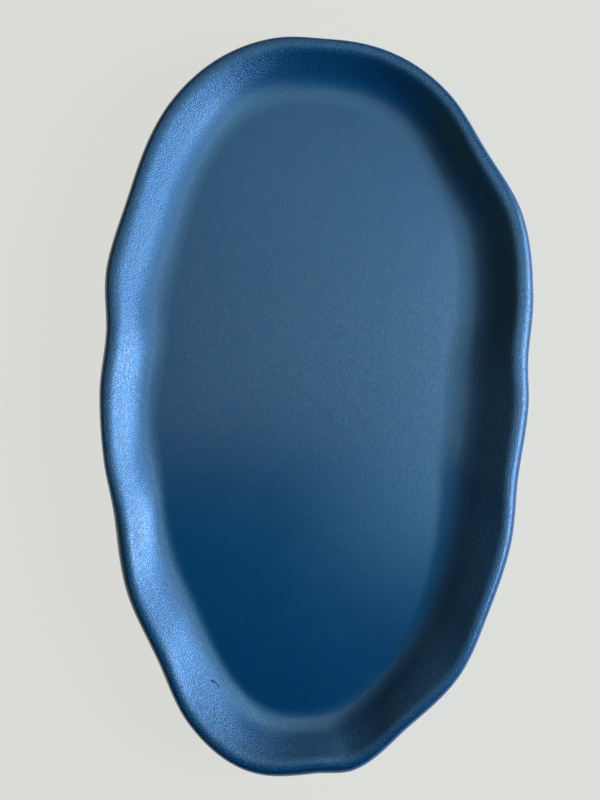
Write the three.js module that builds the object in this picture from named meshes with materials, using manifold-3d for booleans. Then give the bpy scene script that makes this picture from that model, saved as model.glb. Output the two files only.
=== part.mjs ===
// Decorative tray: a wavy oval carved from an edge-glued timber blank, painted, on four stick-on rubber feet.
// Millimetres. +Z is up, the length runs along Y, and the origin lies on the table under the tray's middle.

import * as THREE from "three";
import { mergeVertices } from "three/addons/utils/BufferGeometryUtils.js";
import Module from "manifold-3d";

const wasm = await Module();
wasm.setup();

// Edge seen from above: a plain oval, and the waves that are carved into it
const OVAL_WIDTH = 230;
const OVAL_LENGTH = 396;
const OVAL_POWER = 2.25; // 2 is a true ellipse, and more is squarer
// Each wave: where it lies, round from +X, and how far the edge swells out of the oval (+) or dips into it (-)
const EDGE_WAVES = [
  { degrees: 0, swell: 0 },
  { degrees: 13, swell: 0.5 },
  { degrees: 27, swell: 6.5 },
  { degrees: 43, swell: 10.5 },
  { degrees: 57, swell: 3.7 },
  { degrees: 67, swell: 4 },
  { degrees: 87, swell: 0.5 },
  { degrees: 97, swell: 3.5 },
  { degrees: 116, swell: 7 },
  { degrees: 132, swell: 3.5 },
  { degrees: 147, swell: 5 },
  { degrees: 160, swell: 0.5 },
  { degrees: 176, swell: 2.5 },
  { degrees: 194, swell: 1 },
  { degrees: 208, swell: -2 },
  { degrees: 224, swell: -0.4 },
  { degrees: 238, swell: -3 },
  { degrees: 248, swell: 3.5 },
  { degrees: 259, swell: 6 },
  { degrees: 270, swell: 0.5 },
  { degrees: 276, swell: 0.5 },
  { degrees: 286, swell: -9 },
  { degrees: 299, swell: -6.5 },
  { degrees: 309, swell: -7 },
  { degrees: 325, swell: -4 },
  { degrees: 340, swell: -4.5 },
];

// Well: a flat floor, with a cove that sweeps up from it to the lip on each side
const WELL_DEPTH = 11;
const COVE_LEFT = 27.5; // from the plain oval of the edge in to that of the floor, towards -X
const COVE_RIGHT = 37.5; // towards +X
const COVE_FRONT = 41; // towards -Y
const COVE_BACK = 22.5; // towards +Y
const FLOOR_POWER = 2.1; // squareness of the floor's own oval
const COVE_SWEEP = 0.65; // share of its width in which the cove flattens into the floor
// The floor's own waves, longer and softer than those of the edge
const FLOOR_WAVES = [
  { degrees: 5, swell: 0.5 },
  { degrees: 33, swell: 8 },
  { degrees: 52, swell: 10 },
  { degrees: 68, swell: 7 },
  { degrees: 90, swell: -5.5 },
  { degrees: 112, swell: -3.5 },
  { degrees: 140, swell: -1 },
  { degrees: 165, swell: -1.5 },
  { degrees: 190, swell: 2 },
  { degrees: 225, swell: -0.5 },
  { degrees: 252, swell: 4.5 },
  { degrees: 270, swell: 2 },
  { degrees: 290, swell: -5 },
  { degrees: 315, swell: -7 },
  { degrees: 338, swell: -3.5 },
];

// Lip, outer wall and base
const FLOOR_THICKNESS = 9;
const LIP_ROLL = 5; // from the edge in to the crest
const LIP_DROP = 7; // from the crest down to the widest line
const LIP_SHOULDER = 4.5; // how far the crest carries on before the cove falls away
const BASE_INSET = 15; // from the edge in to the flat base
const HULL_CURVE = 8; // pull of the wall's curve at the base and at the widest line

// Blank: boards glued edge to edge, with their grain along the tray
const BOARD_WIDTH = 40;
const GLUE_LINE = 0.3;

// Feet: round bumpers stuck to the base
const FOOT_DIAMETER = 12.7;
const FOOT_HEIGHT = 3.5;
const FOOT_TAPER = 1.1; // how much smaller the tread's radius is than the stuck face's
const FOOT_ROUND = 0.8; // rounding of the tread's rim
const FOOT_MARGIN = 6; // from the edge of the flat base to the rim of the foot
const FOOT_DEGREES = { foot_back_right: 58, foot_back_left: 122, foot_front_left: 238, foot_front_right: 302 };

// Fineness of the facets
const EDGE_STEPS = 144;
const WALL_STEPS = 5;
const LIP_STEPS = 6;
const COVE_STEPS = 9;
const FOOT_STEPS = 28;
const FOOT_ROUND_STEPS = 3;

const BODY_HEIGHT = FLOOR_THICKNESS + WELL_DEPTH;

const PAINT = new THREE.MeshStandardMaterial({ color: 0x123f6b, roughness: 0.42, metalness: 0 });
const RUBBER = new THREE.MeshStandardMaterial({ color: 0x1b1c1e, roughness: 0.85, metalness: 0 });

const direction = (angle) => new THREE.Vector2(Math.cos(angle), Math.sin(angle));

function ovalRadius(angle, halfWidth, halfLength, power) {
  const across = Math.abs(Math.cos(angle) / halfWidth) ** power;
  const along = Math.abs(Math.sin(angle) / halfLength) ** power;
  return (across + along) ** (-1 / power);
}

// How far a wavy line swells out of its oval at an angle: a smooth closed curve through its waves
function swellAt(waves, angle) {
  const turn = THREE.MathUtils.euclideanModulo(THREE.MathUtils.radToDeg(angle), 360);
  const count = waves.length;
  const next = waves.findIndex(({ degrees }) => degrees > turn);
  const last = (next === -1 ? count : next) - 1;
  const wave = (offset) => waves[(last + offset + count) % count];
  const gap = (from, to) => THREE.MathUtils.euclideanModulo(to.degrees - from.degrees, 360);
  const [before, start, end, after] = [wave(-1), wave(0), wave(1), wave(2)];
  const span = gap(start, end);
  const startRise = ((end.swell - before.swell) * span) / (gap(before, start) + span);
  const endRise = ((after.swell - start.swell) * span) / (span + gap(end, after));
  const t = THREE.MathUtils.euclideanModulo(turn - start.degrees, 360) / span;
  const blend = t * t * (3 - 2 * t);
  const bend = t * (1 - t) ** 2 * startRise - t * t * (1 - t) * endRise;
  return start.swell + (end.swell - start.swell) * blend + bend;
}

const edgeRadius = (angle) =>
  ovalRadius(angle, OVAL_WIDTH / 2, OVAL_LENGTH / 2, OVAL_POWER) + swellAt(EDGE_WAVES, angle);

// A point in from the edge, by a distance measured square to the edge
function insideEdge(angle, inset) {
  const nudge = 0.001;
  const radius = edgeRadius(angle);
  const lean = (edgeRadius(angle + nudge) - edgeRadius(angle - nudge)) / (2 * nudge * radius);
  return direction(angle).multiplyScalar(radius - inset * Math.hypot(1, lean));
}

// The edge of the well's floor: an oval of its own, off to one side, with its own waves
function floorEdge(angle) {
  const centre = new THREE.Vector2((COVE_LEFT - COVE_RIGHT) / 2, (COVE_FRONT - COVE_BACK) / 2);
  const halfWidth = (OVAL_WIDTH - COVE_LEFT - COVE_RIGHT) / 2;
  const halfLength = (OVAL_LENGTH - COVE_FRONT - COVE_BACK) / 2;
  const radius = ovalRadius(angle, halfWidth, halfLength, FLOOR_POWER) + swellAt(FLOOR_WAVES, angle);
  return direction(angle).multiplyScalar(radius).add(centre);
}

// Outside of the tray in section, from the flat base round the wall and over the lip to its crest:
// x is the distance in from the edge, and y the height above the base
function outsideSection() {
  const widest = BODY_HEIGHT - LIP_DROP;
  const wall = new THREE.CubicBezierCurve(
    new THREE.Vector2(BASE_INSET, 0),
    new THREE.Vector2(BASE_INSET - HULL_CURVE, 0),
    new THREE.Vector2(0, widest - HULL_CURVE),
    new THREE.Vector2(0, widest),
  );
  const lip = new THREE.EllipseCurve(LIP_ROLL, widest, LIP_ROLL, LIP_DROP, Math.PI, Math.PI / 2, true);
  return [...wall.getPoints(WALL_STEPS), ...lip.getPoints(LIP_STEPS).slice(1)];
}

// A point on the cove: share 0 is the lip's crest, and 1 the edge of the floor
function covePoint(angle, share) {
  const crest = insideEdge(angle, LIP_ROLL);
  const floor = floorEdge(angle);
  const width = crest.distanceTo(floor);
  const section = new THREE.CubicBezierCurve(
    new THREE.Vector2(0, BODY_HEIGHT),
    new THREE.Vector2(LIP_SHOULDER, BODY_HEIGHT),
    new THREE.Vector2(width * (1 - COVE_SWEEP), FLOOR_THICKNESS),
    new THREE.Vector2(width, FLOOR_THICKNESS),
  );
  const at = section.getPoint(share);
  const plan = crest.lerp(floor, at.x / width);
  return new THREE.Vector3(plan.x, plan.y, at.y);
}

// A closed solid through a stack of rings, with a flat face on the first ring and on the last
function loft(rings) {
  const count = rings[0].length;
  const faces = [];
  for (let k = 0; k + 1 < rings.length; k++) {
    for (let i = 0; i < count; i++) {
      const j = (i + 1) % count;
      const [a, b, c, d] = [k * count + i, k * count + j, (k + 1) * count + j, (k + 1) * count + i];
      faces.push(a, b, c, a, c, d);
    }
  }
  const cap = (ring) => THREE.ShapeUtils.triangulateShape(ring, []);
  const top = (rings.length - 1) * count;
  for (const [a, b, c] of cap(rings[0])) faces.push(c, b, a);
  for (const [a, b, c] of cap(rings.at(-1))) faces.push(top + a, top + b, top + c);
  return new THREE.BufferGeometry().setFromPoints(rings.flat()).setIndex(faces);
}

// The whole carved shape, standing on its base
function carvedBlank() {
  const angles = Array.from({ length: EDGE_STEPS }, (_, i) => (i / EDGE_STEPS) * 2 * Math.PI);
  const outside = outsideSection().map(({ x: inset, y: height }) =>
    angles.map((angle) => {
      const plan = insideEdge(angle, inset);
      return new THREE.Vector3(plan.x, plan.y, height);
    }),
  );
  const cove = Array.from({ length: COVE_STEPS }, (_, i) =>
    angles.map((angle) => covePoint(angle, (i + 1) / COVE_STEPS)),
  );
  return loft([...outside, ...cove]);
}

function solidOf(geometry) {
  const bare = geometry.clone();
  bare.deleteAttribute("normal");
  bare.deleteAttribute("uv");
  const merged = mergeVertices(bare);
  return new wasm.Manifold(
    new wasm.Mesh({
      numProp: 3,
      vertProperties: merged.attributes.position.array,
      triVerts: new Uint32Array(merged.index.array),
    }),
  );
}

function geometryOf(solid) {
  const { vertProperties, triVerts } = solid.getMesh();
  return new THREE.BufferGeometry()
    .setAttribute("position", new THREE.BufferAttribute(vertProperties, 3))
    .setIndex(new THREE.BufferAttribute(triVerts, 1));
}

function namedMesh(name, geometry, material) {
  geometry.computeVertexNormals();
  const mesh = new THREE.Mesh(geometry, material);
  mesh.name = name;
  return mesh;
}

// The boards of the blank, side by side from -X to +X, each with its own stretch of the carving
function boards(blank) {
  const box = new THREE.Box3().setFromBufferAttribute(blank.getAttribute("position"));
  const size = box.getSize(new THREE.Vector3());
  const middle = box.getCenter(new THREE.Vector3());
  const carved = solidOf(blank);
  const count = Math.ceil(size.x / BOARD_WIDTH);
  return Array.from({ length: count }, (_, i) => {
    const plank = new THREE.BoxGeometry(BOARD_WIDTH - GLUE_LINE, 2 * size.y, 2 * size.z);
    plank.translate(middle.x + (i - (count - 1) / 2) * BOARD_WIDTH, middle.y, middle.z);
    return namedMesh(`board_${i + 1}`, geometryOf(carved.intersect(solidOf(plank))), PAINT);
  });
}

// A bumper foot, standing on its tread
function foot(name) {
  const stuck = FOOT_DIAMETER / 2;
  const tread = stuck - FOOT_TAPER;
  const round = new THREE.QuadraticBezierCurve(
    new THREE.Vector2(tread - FOOT_ROUND, 0),
    new THREE.Vector2(tread, 0),
    new THREE.Vector2(tread + (FOOT_TAPER * FOOT_ROUND) / FOOT_HEIGHT, FOOT_ROUND),
  );
  const profile = [
    new THREE.Vector2(0, 0),
    ...round.getPoints(FOOT_ROUND_STEPS),
    new THREE.Vector2(stuck, FOOT_HEIGHT),
    new THREE.Vector2(0, FOOT_HEIGHT),
  ];
  const geometry = new THREE.LatheGeometry(profile, FOOT_STEPS).rotateX(Math.PI / 2);
  return namedMesh(name, geometry, RUBBER);
}

const tray = new THREE.Group();

const blank = carvedBlank();
const body = new THREE.Group();
body.add(...boards(blank));
body.position.z = FOOT_HEIGHT;
tray.add(body);

for (const [name, degrees] of Object.entries(FOOT_DEGREES)) {
  const inset = BASE_INSET + FOOT_MARGIN + FOOT_DIAMETER / 2;
  const place = insideEdge(THREE.MathUtils.degToRad(degrees), inset);
  const bumper = foot(name);
  bumper.position.set(place.x, place.y, 0);
  tray.add(bumper);
}

// The origin is set under the middle of the tray's box
const middle = new THREE.Box3().setFromObject(tray).getCenter(new THREE.Vector3());
tray.children.forEach((piece) => piece.position.sub(new THREE.Vector3(middle.x, middle.y, 0)));

export default tray;
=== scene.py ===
"""A wavy oval tray carved from glued boards, painted satin navy, on rubber bumpers, seen from above."""

import math

import bmesh
import bpy
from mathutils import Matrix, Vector


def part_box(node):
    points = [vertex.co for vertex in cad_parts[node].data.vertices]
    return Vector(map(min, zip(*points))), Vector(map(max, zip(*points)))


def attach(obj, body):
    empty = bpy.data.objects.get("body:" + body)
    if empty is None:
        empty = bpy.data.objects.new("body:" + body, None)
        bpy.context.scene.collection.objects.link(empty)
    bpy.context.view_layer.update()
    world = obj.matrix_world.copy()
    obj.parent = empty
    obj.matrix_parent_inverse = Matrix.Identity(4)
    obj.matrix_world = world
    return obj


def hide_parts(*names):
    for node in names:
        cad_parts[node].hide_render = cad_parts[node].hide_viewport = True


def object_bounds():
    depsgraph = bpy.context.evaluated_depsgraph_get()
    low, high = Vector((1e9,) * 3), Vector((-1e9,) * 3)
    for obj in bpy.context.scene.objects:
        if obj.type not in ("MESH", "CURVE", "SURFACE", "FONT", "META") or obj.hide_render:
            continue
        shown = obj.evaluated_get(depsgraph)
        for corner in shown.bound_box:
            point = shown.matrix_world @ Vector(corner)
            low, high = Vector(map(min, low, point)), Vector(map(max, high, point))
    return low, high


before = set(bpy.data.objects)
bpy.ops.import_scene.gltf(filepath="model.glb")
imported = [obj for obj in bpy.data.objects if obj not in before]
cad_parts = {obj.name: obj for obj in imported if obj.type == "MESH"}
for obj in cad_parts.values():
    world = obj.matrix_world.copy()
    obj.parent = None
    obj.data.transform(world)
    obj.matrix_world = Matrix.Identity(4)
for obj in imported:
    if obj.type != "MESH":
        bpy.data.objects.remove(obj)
cad_low, cad_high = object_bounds()

MM = 0.001

# The carved shape, in millimetres: the edge, depth and base of the solid boards, with a finer lip and cove.
# A list of pairs gives directions, in degrees round from +X, and a size in each
OVAL_WIDTH, OVAL_LENGTH, OVAL_POWER = 230, 396, 2.25
# How far the edge swells out of its oval
EDGE_WAVES = [
    (0, 0), (13, 0.5), (27, 6.5), (43, 10.5), (57, 3.7), (67, 4), (87, 0.5), (97, 3.5), (116, 7),
    (132, 3.5), (147, 5), (160, 0.5), (176, 2.5), (194, 1), (208, -2), (224, -0.4), (238, -3), (248, 3.5),
    (259, 6), (270, 0.5), (276, 0.5), (286, -9), (299, -6.5), (309, -7), (325, -4), (340, -4.5),
]
WELL_DEPTH = 11
COVE_LEFT, COVE_RIGHT, COVE_FRONT, COVE_BACK = 26.2, 37.2, 38.5, 20
FLOOR_POWER = 2.1
# How far the floor line swells out of its own oval
FLOOR_WAVES = [
    (12, -7.5), (28, 0), (45, 6), (57, 3), (68, 1), (88, -12.5), (108, -9.5), (132, -10.5), (148, -8),
    (163, -8), (190, -2.5), (212, -4), (230, -3), (246, -4.5), (263, 6.5), (284, 0), (308, -6.5),
    (332, -11.5), (348, -9.5),
]
# How far in from the edge the crest of the lip lies
LIP_ROLLS = [
    (0, 5.4), (10, 5.8), (22, 6.5), (40, 5.6), (60, 4), (85, 2.4), (105, 3.3), (130, 3.6), (165, 3.6),
    (190, 3.2), (202, 3.5), (214, 4.6), (226, 4.2), (240, 3.9), (252, 3.8), (270, 5.4), (300, 4.8),
    (325, 5), (345, 5.3),
]
# How wide the shoulder is, where the crest rolls into the cove
LIP_SHOULDERS = [
    (0, 6.2), (40, 6.7), (90, 7.5), (140, 7.8), (165, 7.7), (185, 8.2), (205, 8.4), (216, 9.8),
    (228, 8.4), (240, 9.6), (252, 8), (268, 7), (290, 5.2), (320, 5.3),
]
# How wide the foot is, where the cove eases into the floor
COVE_EASES = [
    (20, 26), (60, 24), (90, 23), (130, 22), (180, 25), (215, 27), (240, 23), (257, 20), (268, 16),
    (286, 15), (300, 20), (320, 25),
]
FLOOR_THICKNESS, LIP_DROP, BASE_INSET, HULL_CURVE = 9, 7, 15, 8
BOARD_WIDTH = 40
FOOT_DIAMETER, FOOT_HEIGHT, FOOT_TAPER, FOOT_ROUND = 12.7, 3.5, 1.1, 0.8
TREAD_FLAT, FOOT_ARRIS = 1.2, 0.25
BODY_HEIGHT = FLOOR_THICKNESS + WELL_DEPTH
FLOOR_CENTRE = Vector(((COVE_LEFT - COVE_RIGHT) / 2, (COVE_FRONT - COVE_BACK) / 2))

# How finely it is carved
BASE_SHARES = (0, 0.3, 0.6, 0.85, 0.96, 1)
WALL_STEPS, LIP_STEPS, COVE_STEPS, FLOOR_STEPS = 10, 14, 42, 24
ROUND_STEPS, FOOT_ROUND_STEPS, FOOT_ARC_STEPS = 480, 72, 8
JUST_INSIDE = 0.9999

BOARDS = ("board_1", "board_2", "board_3", "board_4", "board_5", "board_6")
FEET = ("foot_back_right", "foot_back_left", "foot_front_left", "foot_front_right")

# Knocks in the floor: where, how wide and how deep
DENTS = (
    ((-52.9, 38.8), 4.5, 0.07),
    ((0.3, -0.8), 4.0, 0.06),
    ((-42.6, -7.3), 3.5, 0.05),
    ((-74.5, -30.1), 3.5, 0.06),
)
# Fibres caught in the paint at the back of the floor, and a tick on the left lip: raised, with a painted
# highlight lightening their colour
FIBRES = (
    ((-28.9, 168.3), (-28.7, 163.5), (-30.5, 160.2), (-29.7, 156.3), (-31.6, 153.8)),
    ((-28.2, 168.8), (-25.4, 169.1), (-22.9, 170.2), (-21.0, 171.0), (-18.3, 170.8)),
    ((-14.6, 176.0), (-12.1, 173.9)),
    ((-108.8, 89.4), (-106.5, 91.1)),
)
# Specks of dust under the paint: raised, with a painted highlight lightening their colour
SPECKS = (
    (-3.0, 152.8), (1.2, 154.4), (1.2, 152.2), (3.9, 160.8), (86.8, 89.9), (74.9, 69.2), (0.3, -9.5),
    (26.0, 66.0), (-47.5, -61.0), (-20.0, -83.0), (38.0, 118.0),
)
# A nick in the front cove: a real small dent, darkened in colour as painted shade
NICK = ((-57.2, -148.8), (-55.4, -150.0), (-53.4, -152.3))


def oval_radius(angle, half_width, half_length, power):
    across = abs(math.cos(angle) / half_width) ** power
    along = abs(math.sin(angle) / half_length) ** power
    return (across + along) ** (-1 / power)


def swell_at(waves, angle):
    """The size in a direction: a smooth closed curve through the pairs of a list."""
    turn = math.degrees(angle) % 360
    last = sum(degrees <= turn for degrees, _ in waves) - 1
    before, start, end, after = (waves[(last + step) % len(waves)] for step in (-1, 0, 1, 2))
    span = (end[0] - start[0]) % 360
    start_rise = (end[1] - before[1]) * span / ((start[0] - before[0]) % 360 + span)
    end_rise = (after[1] - start[1]) * span / (span + (after[0] - end[0]) % 360)
    t = (turn - start[0]) % 360 / span
    blend = start[1] + (end[1] - start[1]) * t * t * (3 - 2 * t)
    return blend + t * (1 - t) ** 2 * start_rise - t * t * (1 - t) * end_rise


def edge_radius(angle):
    return oval_radius(angle, OVAL_WIDTH / 2, OVAL_LENGTH / 2, OVAL_POWER) + swell_at(EDGE_WAVES, angle)


def inside_edge(angle, inset):
    """A point in from the edge, by a distance measured square to the edge."""
    nudge = 0.001
    radius = edge_radius(angle)
    lean = (edge_radius(angle + nudge) - edge_radius(angle - nudge)) / (2 * nudge * radius)
    reach = radius - inset * math.hypot(1, lean)
    return Vector((math.cos(angle), math.sin(angle))) * reach


def floor_edge(angle):
    half_width = (OVAL_WIDTH - COVE_LEFT - COVE_RIGHT) / 2
    half_length = (OVAL_LENGTH - COVE_FRONT - COVE_BACK) / 2
    radius = oval_radius(angle, half_width, half_length, FLOOR_POWER) + swell_at(FLOOR_WAVES, angle)
    return FLOOR_CENTRE + Vector((math.cos(angle), math.sin(angle))) * radius


def sweep(t, *pulls):
    """A point on the cubic curve that four points pull."""
    shares = ((1 - t) ** 3, 3 * t * (1 - t) ** 2, 3 * t * t * (1 - t), t**3)
    return sum((share * Vector(pull) for share, pull in zip(shares, pulls)), Vector((0, 0)))


def base_line(share):
    return lambda angle: (*(inside_edge(angle, BASE_INSET) * share), 0)


def wall_line(share):
    widest = BODY_HEIGHT - LIP_DROP
    pulls = (BASE_INSET, 0), (BASE_INSET - HULL_CURVE, 0), (0, widest - HULL_CURVE), (0, widest)
    inset, height = sweep(share, *pulls)
    return lambda angle: (*inside_edge(angle, inset), height)


def lip_roll(angle):
    return swell_at(LIP_ROLLS, angle)


def lip_line(share):
    inset = 1 - math.cos(share * math.pi / 2)
    height = BODY_HEIGHT - LIP_DROP * (1 - math.sin(share * math.pi / 2))
    return lambda angle: (*inside_edge(angle, inset * lip_roll(angle)), height)


def rolled(share):
    """How steep the shoulder is, from level at the crest to the full slope."""
    return share * share * (3 - 2 * share)


def eased(share):
    """How steep the foot is, from level at the floor to the full slope, nearly evenly."""
    return share * (0.7 + share * (0.9 - 0.6 * share))


def cove_falls(angle, width):
    """How far the cove has dropped at each step in from the crest: it rolls over, falls and eases out."""
    shoulder, ease = swell_at(LIP_SHOULDERS, angle), swell_at(COVE_EASES, angle)
    slopes = []
    for step in range(COVE_STEPS):
        across = (step + 0.5) / COVE_STEPS * width
        roll, foot = min(1, across / shoulder), min(1, (width - across) / ease)
        slopes.append(rolled(roll) * eased(foot))
    return [WELL_DEPTH * sum(slopes[:step + 1]) / sum(slopes) for step in range(COVE_STEPS)]


def cove_line(step):
    def place(angle):
        crest, floor = inside_edge(angle, lip_roll(angle)), floor_edge(angle)
        fall = cove_falls(angle, (crest - floor).length)[step]
        return (*crest.lerp(floor, (step + 1) / COVE_STEPS), BODY_HEIGHT - fall)

    return place


def floor_line(share):
    return lambda angle: (*FLOOR_CENTRE.lerp(floor_edge(angle), share), FLOOR_THICKNESS)


def steps(count):
    return [(step + 1) / count for step in range(count)]


def spun_round(bm, section, count):
    """Spins a section once round Z and joins it to its start."""
    full = 2 * math.pi
    bmesh.ops.spin(
        bm, geom=section, cent=(0, 0, 0), axis=(0, 0, 1), angle=full, steps=count, use_merge=True
    )


def carved_blank():
    """The whole carving: a section spun round, with each of its lines then drawn along the waves."""
    lines = [base_line(share) for share in BASE_SHARES]
    lines += [wall_line(share) for share in steps(WALL_STEPS)]
    lines += [lip_line(share) for share in steps(LIP_STEPS)]
    lines += [cove_line(step) for step in range(COVE_STEPS)]
    lines += [floor_line(1 - share) for share in steps(FLOOR_STEPS)]
    bm = bmesh.new()
    line_of = bm.verts.layers.int.new("line")
    section = [bm.verts.new((1, 0, number)) for number in range(len(lines))]
    for number, vert in enumerate(section):
        vert[line_of] = number
    edges = [bm.edges.new(pair) for pair in zip(section, section[1:])]
    spun_round(bm, section + edges, ROUND_STEPS)
    for vert in bm.verts:
        vert.co = lines[vert[line_of]](math.atan2(vert.co.y, vert.co.x))
    low, high = (
        Vector([pick(vert.co[axis] for vert in bm.verts) for axis in (0, 1)]) for pick in (min, max)
    )
    bmesh.ops.translate(bm, verts=bm.verts, vec=(*(low + high) / -2, FOOT_HEIGHT))
    within = [JUST_INSIDE * (cad_high[axis] - cad_low[axis]) / MM / (high - low)[axis] for axis in (0, 1)]
    bmesh.ops.scale(bm, verts=bm.verts, vec=(*within, 1))
    bmesh.ops.remove_doubles(bm, verts=bm.verts, dist=0.0001)
    for centre, width, depth in DENTS:
        knock(bm, Vector(centre), width, depth)
    bmesh.ops.scale(bm, verts=bm.verts, vec=(MM, MM, MM))
    bmesh.ops.recalc_face_normals(bm, faces=bm.faces)
    return bm


def knock(bm, centre, width, depth):
    """Sinks a shallow round dent into the floor, on a finer patch of it."""
    near = [
        face for face in bm.faces
        if face.normal.z > 0.9 and (face.calc_center_median().xy - centre).length < width
    ]
    edges = list({edge for face in near for edge in face.edges})
    bmesh.ops.subdivide_edges(bm, edges=edges, cuts=5, use_grid_fill=True)
    for vert in bm.verts:
        out = (vert.co.xy - centre).length / (width / 2)
        if out < 1 and vert.co.z > FOOT_HEIGHT + FLOOR_THICKNESS - 1:
            vert.co.z -= depth * (1 - out * out) ** 2


def finished(name, bm, *materials):
    """An object at the origin, with its place in its mesh."""
    mesh = bpy.data.meshes.new(name)
    bm.to_mesh(mesh)
    bm.free()
    for material in materials:
        mesh.materials.append(material)
    piece = bpy.data.objects.new(name, mesh)
    bpy.context.scene.collection.objects.link(piece)
    return piece


def painted_board(node, blank, paint):
    """One board of the blank: the carving between its two glue joints."""
    low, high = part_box(node)
    bm = blank.copy()
    for side, joint in ((-1, low[0]), (1, high[0])):
        joint = round(joint / MM / BOARD_WIDTH) * BOARD_WIDTH * MM
        everything = list(bm.verts) + list(bm.edges) + list(bm.faces)
        bmesh.ops.bisect_plane(
            bm, geom=everything, dist=1e-7, plane_co=(joint, 0, 0), plane_no=(side, 0, 0), clear_outer=True
        )
    for face in bm.faces:
        face.smooth = True
    cut = [edge for edge in bm.edges if edge.is_boundary]
    for edge in cut:
        edge.smooth = False
    bmesh.ops.holes_fill(bm, edges=cut, sides=0)
    bmesh.ops.recalc_face_normals(bm, faces=bm.faces)
    piece = finished(node + "_painted", bm, paint)
    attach(piece, "root")
    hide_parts(node)


def bumper(node, rubber):
    """A moulded bumper foot, spun from its section."""
    low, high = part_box(node)
    stuck = FOOT_DIAMETER / 2
    tread = stuck - FOOT_TAPER
    lean = FOOT_TAPER / FOOT_HEIGHT
    under, beside = tread - FOOT_ROUND, tread + lean * FOOT_ROUND
    section = [(0, 0.0), (under - TREAD_FLAT, 0.0)]
    for step in range(FOOT_ARC_STEPS + 1):
        t = step / FOOT_ARC_STEPS
        out = (1 - t) ** 2 * under + 2 * t * (1 - t) * tread + t * t * beside
        section.append((out, t * t * FOOT_ROUND))
    arris = ((FOOT_ARRIS * lean, FOOT_ARRIS), (0.08, 0.06), (0.2, 0))
    section += [(stuck - back, FOOT_HEIGHT - down) for back, down in arris] + [(0, FOOT_HEIGHT)]
    bm = bmesh.new()
    verts = [bm.verts.new((out, 0, height)) for out, height in section]
    edges = [bm.edges.new(pair) for pair in zip(verts, verts[1:])]
    spun_round(bm, verts + edges, FOOT_ROUND_STEPS)
    bmesh.ops.remove_doubles(bm, verts=bm.verts, dist=0.0001)
    bmesh.ops.scale(bm, verts=bm.verts, vec=(MM, MM, MM))
    bmesh.ops.translate(bm, verts=bm.verts, vec=((low[0] + high[0]) / 2, (low[1] + high[1]) / 2, 0))
    bmesh.ops.recalc_face_normals(bm, faces=bm.faces)
    for face in bm.faces:
        face.smooth = True
    piece = finished(node + "_bumper", bm, rubber)
    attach(piece, "root")
    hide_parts(node)


class Wire:
    """An output of a shader node, written in plain sums."""

    def __init__(self, tree, socket=None):
        self.tree = tree
        self.socket = socket

    def node(self, kind, settings=None, inputs=None, out=0):
        """Adds a node: its settings first, then the values or links of its sockets. Gives one output."""
        made = self.tree.nodes.new(kind)
        for name, value in (settings or {}).items():
            setattr(made, name, value)
        for name, value in (inputs or {}).items():
            if isinstance(value, Wire):
                self.tree.links.new(value.socket, made.inputs[name])
            else:
                made.inputs[name].default_value = value
        return Wire(self.tree, made.outputs[out]) if len(made.outputs) else made

    def sum(self, operation, *values):
        return self.node("ShaderNodeMath", {"operation": operation}, dict(enumerate(values)))

    def __add__(self, other):
        return self.sum("ADD", self, other)

    __radd__ = __add__

    def __sub__(self, other):
        return self.sum("SUBTRACT", self, other)

    def __rsub__(self, other):
        return self.sum("SUBTRACT", other, self)

    def __mul__(self, other):
        return self.sum("MULTIPLY", self, other)

    __rmul__ = __mul__

    def __truediv__(self, other):
        return self.sum("DIVIDE", self, other)

    def ramped(self, start, end, low=0.0, high=1.0):
        """Goes smoothly from low to high as this goes from start to end."""
        inputs = {"Value": self, "From Min": start, "From Max": end, "To Min": low, "To Max": high}
        return self.node("ShaderNodeMapRange", {"interpolation_type": "SMOOTHSTEP"}, inputs)

    def line(self, points, width):
        """1 on a drawn line through these points, given in millimetres, fading to 0 at this width."""
        drawn = 0.0
        for start, end in zip(points, points[1:]):
            start, end = (Vector((*point, 0)) * MM for point in (start, end))
            reach = end - start
            out = self.vector("SUBTRACT", self, start)
            share = out.vector("DOT_PRODUCT", out, reach / reach.length_squared, out="Value")
            share = share.node("ShaderNodeClamp", None, {"Value": share})
            foot = share.node("ShaderNodeVectorMath", {"operation": "SCALE"}, {0: reach, "Scale": share})
            gap = foot.vector("DISTANCE", out, foot, out="Value")
            drawn = gap.sum("MAXIMUM", gap.ramped(width * MM, 0.0), drawn)
        return drawn

    def vector(self, operation, first, second, out=0):
        return self.node("ShaderNodeVectorMath", {"operation": operation}, {0: first, 1: second}, out)

    def blend(self, first, second):
        """A colour between two, by this share of the second."""
        return self.node("ShaderNodeMix", {"data_type": "RGBA"}, {0: self, 6: first, 7: second}, out=2)

    def noise(self, scale, detail=2.0, rough=0.5):
        """Cloudy noise at this place, from 0 to 1, with this many patches to the metre."""
        inputs = {"Vector": self, "Scale": scale, "Detail": detail, "Roughness": rough}
        return self.node("ShaderNodeTexNoise", None, inputs)


def bare_material(name):
    """An empty node material, and the wire that starts its tree."""
    material = bpy.data.materials.new(name)
    material.use_nodes = True
    material.node_tree.nodes.clear()
    return material, Wire(material.node_tree)


def coat(wire, shader):
    wire.node("ShaderNodeOutputMaterial", None, {"Surface": shader})


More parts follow.
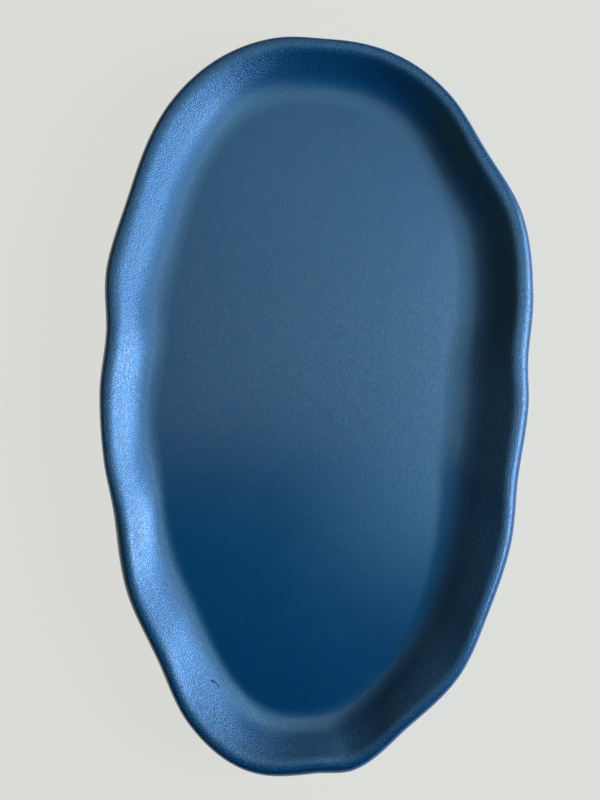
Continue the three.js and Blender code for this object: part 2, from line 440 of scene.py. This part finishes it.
def navy_paint():
    """Sprayed satin navy over close-grained timber: fine orange peel, the grain and joints just showing, with
    a painted highlight on raised fibres and specks and painted shade in a nick.
    """
    material, wire = bare_material("navy_paint")
    place = wire.node("ShaderNodeTexCoord", out="Object")
    spread = wire.node("ShaderNodeSeparateXYZ", None, {0: place}).socket.node.outputs
    x, y, z = (Wire(wire.tree, spread[axis]) for axis in "XYZ")
    board = wire.sum("FLOOR", x / (BOARD_WIDTH * MM))
    along = wire.node("ShaderNodeCombineXYZ", None, {0: x, 1: y * 0.06 + board * 0.31, 2: z})
    pores = along.noise(1700, 2.0, 0.6)
    figure = along.noise(240, 2.0)
    peel = place.noise(1300, 2.0, 0.6)
    mottle = place.noise(26, 3.0)
    cloud = place.noise(110, 2.0)
    streaks = wire.node("ShaderNodeCombineXYZ", None, {0: x, 1: y * 0.22, 2: z}).noise(1900, 2.0, 0.7)
    flecks = place.noise(1500, 1.0)
    grainy = y.ramped(0.14, 0.02, 0.4, 1.0)
    joint = wire.sum("PINGPONG", x, BOARD_WIDTH / 2 * MM).ramped(0.0007, 0.0, 0.0, 1.0)
    flat = wire.node("ShaderNodeCombineXYZ", None, {0: x, 1: y, 2: 0.0})
    raised_and_highlit = 0.0
    for points in FIBRES:
        raised_and_highlit = wire.sum("MAXIMUM", flat.line(points, 0.45), raised_and_highlit)
    for across, along_board in SPECKS:
        speck = ((across, along_board), (across + 0.2, along_board + 0.1))
        raised_and_highlit = wire.sum("MAXIMUM", flat.line(speck, 0.6), raised_and_highlit)
    nick_and_its_shade = flat.line(NICK, 0.5)

    deep, pale = (0.0004, 0.060, 0.172, 1), (0.0009, 0.070, 0.197, 1)
    in_pores, in_streaks = (0.0003, 0.022, 0.072, 1), (0.0003, 0.033, 0.1, 1)
    # The lighter colour on the raised fibres and specks is a painted highlight; the dark colour in the nick
    # is painted shade.
    painted_highlight_on_raised, painted_shade_in_nick = (0.030, 0.115, 0.22, 1), (0.0003, 0.012, 0.04, 1)
    tone = mottle * 0.5 + cloud * 0.2 + figure * 0.3
    colour = tone.ramped(0.3, 0.7).blend(deep, pale)
    colour = pores.ramped(0.36, 0.24, 0.0, 0.45).blend(colour, in_pores)
    colour = (streaks.ramped(0.3, 0.7, 0.0, 0.75) * grainy).blend(colour, in_streaks)
    # Lightens the raised fibres and specks: a painted highlight, on top of their real raised bump in the
    # height below
    colour = (raised_and_highlit * 0.8).blend(colour, painted_highlight_on_raised)
    # Darkens the nick: painted shade in the dent, besides its real dent in the height below
    colour = (nick_and_its_shade * 0.9).blend(colour, painted_shade_in_nick)
    worn = z.ramped(0.0205, 0.0124)
    roughness = 0.23 - worn * 0.02 + (cloud - 0.5) * 0.05 + (mottle - 0.5) * 0.05
    height = (peel - 0.5) * (0.24 - worn * 0.22) + (pores - 0.5) * 0.010
    height = height + (figure - 0.5) * 0.006 - joint * 0.003
    height = height + (streaks - 0.5) * 0.03 + raised_and_highlit * 0.03 - nick_and_its_shade * 0.25
    lustre = 0.15 + (streaks - 0.5) * grainy * 4.0 + (flecks - 0.5) * (2.2 - worn * 0.7)
    normal = wire.node("ShaderNodeBump", None, {"Height": height, "Distance": MM, "Strength": 1.0})
    shader = wire.node(
        "ShaderNodeBsdfPrincipled",
        None,
        {
            "Base Color": colour,
            "Roughness": roughness,
            "Normal": normal,
            "IOR": 1.7,
            "Specular IOR Level": 0.9,
            "Specular Tint": (0.29, 0.60, 1.0, 1.0),
            "Coat Weight": lustre,
            "Coat Roughness": 0.2,
        },
    )
    coat(wire, shader)
    return material


def foot_rubber():
    """Moulded black rubber with a fine matte skin and a little dust on the tread."""
    material, wire = bare_material("foot_rubber")
    place = wire.node("ShaderNodeTexCoord", out="Object")
    skin = place.noise(3200, 2.0)
    bloom = place.noise(320, 3.0)
    dust = bloom.ramped(0.48, 0.72)
    colour = dust.blend((0.013, 0.013, 0.014, 1), (0.038, 0.037, 0.036, 1))
    height = (skin - 0.5) * 0.03
    normal = wire.node("ShaderNodeBump", None, {"Height": height, "Distance": MM, "Strength": 1.0})
    shader = wire.node(
        "ShaderNodeBsdfPrincipled",
        None,
        {"Base Color": colour, "Roughness": 0.68 + dust * 0.2, "Normal": normal, "Specular IOR Level": 0.35},
    )
    coat(wire, shader)
    return material


PALE = (0.716, 0.723, 0.687, 1)
EVEN_SHARE, EVEN_LEVEL = 0.9, 1.06
TABLE_REACH, BACKDROP_REACH = 12, 11.5


def pale_floor():
    """A plain pale table, nearly even, which keeps a faint shadow of the tray and is clear from below."""
    material, wire = bare_material("pale_floor")
    path = wire.node("ShaderNodeLightPath")
    outputs = path.socket.node.outputs
    rays = ("Is Camera Ray", "Is Glossy Ray", "Is Transmission Ray")
    seen = [Wire(wire.tree, outputs[name]) for name in rays]
    shown = wire.sum("MAXIMUM", wire.sum("MAXIMUM", seen[0], seen[1]), seen[2])
    lit = wire.node("ShaderNodeBsdfDiffuse", None, {"Color": PALE})
    even = wire.node("ShaderNodeEmission", None, {"Color": PALE, "Strength": EVEN_LEVEL})
    table = wire.node("ShaderNodeMixShader", None, {0: shown * EVEN_SHARE, 1: lit, 2: even})
    side = wire.node("ShaderNodeNewGeometry")
    below = Wire(wire.tree, side.socket.node.outputs["Backfacing"])
    clear = wire.node("ShaderNodeBsdfTransparent")
    coat(wire, wire.node("ShaderNodeMixShader", None, {0: below, 1: table, 2: clear}))
    bm = bmesh.new()
    bmesh.ops.create_grid(bm, x_segments=2, y_segments=2, size=TABLE_REACH)
    floor = finished("table", bm, material)


def pale_backdrop():
    """A pale studio sweep far behind everything, which only the camera sees."""
    material, wire = bare_material("pale_backdrop")
    coat(wire, wire.node("ShaderNodeEmission", None, {"Color": PALE, "Strength": 1.0}))
    bm = bmesh.new()
    bmesh.ops.create_icosphere(bm, subdivisions=4, radius=BACKDROP_REACH)
    backdrop = finished("backdrop", bm, material)
    backdrop.visible_diffuse = backdrop.visible_glossy = False
    backdrop.visible_transmission = backdrop.visible_shadow = False


def card(name, place, aim, size, radiance, sheen=True):
    """A soft, even rectangular light that faces a point, for either the sheen or the body colour."""
    data = bpy.data.lights.new(name, "AREA")
    data.shape = "RECTANGLE"
    data.size, data.size_y = size
    level = max(radiance)
    data.color = [part / level for part in radiance]
    data.energy = math.pi * size[0] * size[1] * level
    light = bpy.data.objects.new(name, data)
    light.location = place
    light.rotation_euler = (Vector(aim) - Vector(place)).to_track_quat("-Z", "Y").to_euler()
    light.visible_camera = False
    light.visible_glossy = sheen
    light.visible_diffuse = not sheen
    bpy.context.scene.collection.objects.link(light)


def studio():
    """A low window to the right that fades upwards, a ceiling that ends short of the front, and dim walls."""
    card("low_sky", (1.5, -0.05, 0.75), (0, -0.05, 0), (1.2, 0.6), (12.2, 14.2, 17.4), sheen=False)
    card("window_front", (1.1, -0.39, 0.93), (0, -0.39, 0.93), (0.38, 0.84), (7.9, 9.0, 11.0))
    card("window_middle", (1.1, -0.125, 0.8), (0, -0.125, 0.8), (0.15, 0.58), (8.2, 9.4, 11.5))
    card("window_back", (1.1, 0.255, 0.58), (0, 0.255, 0.58), (0.61, 0.92), (3.4, 4.0, 4.95))
    card("window_top", (1.026, -0.35, 1.273), (-0.1, -0.35, 0), (0.6, 0.27), (4.2, 4.8, 5.4))
    card("window_top_back", (1.026, 0.22, 1.273), (-0.1, 0.22, 0), (0.54, 0.27), (1.4, 1.65, 1.9))
    card("window_brow", (0.8, -0.1, 1.44), (-0.1, -0.1, 0), (1.0, 0.3), (2.0, 2.25, 2.4))
    card("window_glow", (0.51, 0.05, 1.587), (-0.1, 0.05, 0), (0.8, 0.36), (1.0, 1.1, 1.05))
    card("window_sill", (1.05, 0.15, 0.32), (0, 0.15, 0.32), (0.9, 0.44), (2.6, 2.4, 1.5))
    card("ceiling", (0.125, 0.5, 2.0), (0.125, 0.5, 0), (1.25, 1.3), (0.9, 0.95, 0.8))
    card("ceiling_right", (0.345, 0.36, 1.9), (0.345, 0.36, 0), (0.75, 0.8), (0.28, 0.32, 0.27))
    card("ceiling_corner", (0.42, -0.3, 1.95), (0.42, -0.3, 0), (0.62, 0.36), (0.8, 0.9, 0.75))
    card("ceiling_left", (-1.0, 0.35, 2.05), (-1.0, 0.35, 0), (1.0, 1.2), (0.19, 0.16, 0.09))
    card("front_dusk", (-0.1, -0.6, 2.1), (-0.1, -0.6, 0), (1.4, 0.8), (0.0, 0.14, 0.27))
    card("front_haze", (0.1, -0.42, 2.15), (0.1, -0.42, 0), (1.2, 0.4), (0.0, 0.10, 0.05))
    card("back_wall", (0.2, 2.2, 1.7), (0.2, 0, 0.2), (2.0, 1.6), (0.35, 0.36, 0.28))
    card("left_wall", (-2.2, 0.0, 1.05), (0, 0, 0.2), (3.0, 1.3), (0.24, 0.24, 0.08))
    world = bpy.data.worlds.new("dim_room")
    world.use_nodes = True
    world.node_tree.nodes["Background"].inputs["Color"].default_value = (0.0, 0.02, 0.02, 1)
    bpy.context.scene.world = world


def camera():
    """Straight down, with the tray framed as it lies in a 600 by 800 picture."""
    high, tall = 0.45, 0.4345
    across, along = -0.00894, 0.00374
    data = bpy.data.cameras.new("overhead")
    data.sensor_fit = "AUTO"
    data.sensor_width = 36
    data.lens = 36 * high / tall
    eye = bpy.data.objects.new("overhead", data)
    eye.location = (across, along, high + (FOOT_HEIGHT + BODY_HEIGHT - LIP_DROP) * MM)
    bpy.context.scene.collection.objects.link(eye)
    bpy.context.scene.camera = eye


camera()
studio()
pale_floor()
pale_backdrop()

paint = navy_paint()
rubber = foot_rubber()
blank = carved_blank()
for node in BOARDS:
    painted_board(node, blank, paint)
blank.free()
for node in FEET:
    bumper(node, rubber)

bpy.context.scene.view_settings.view_transform = "Standard"
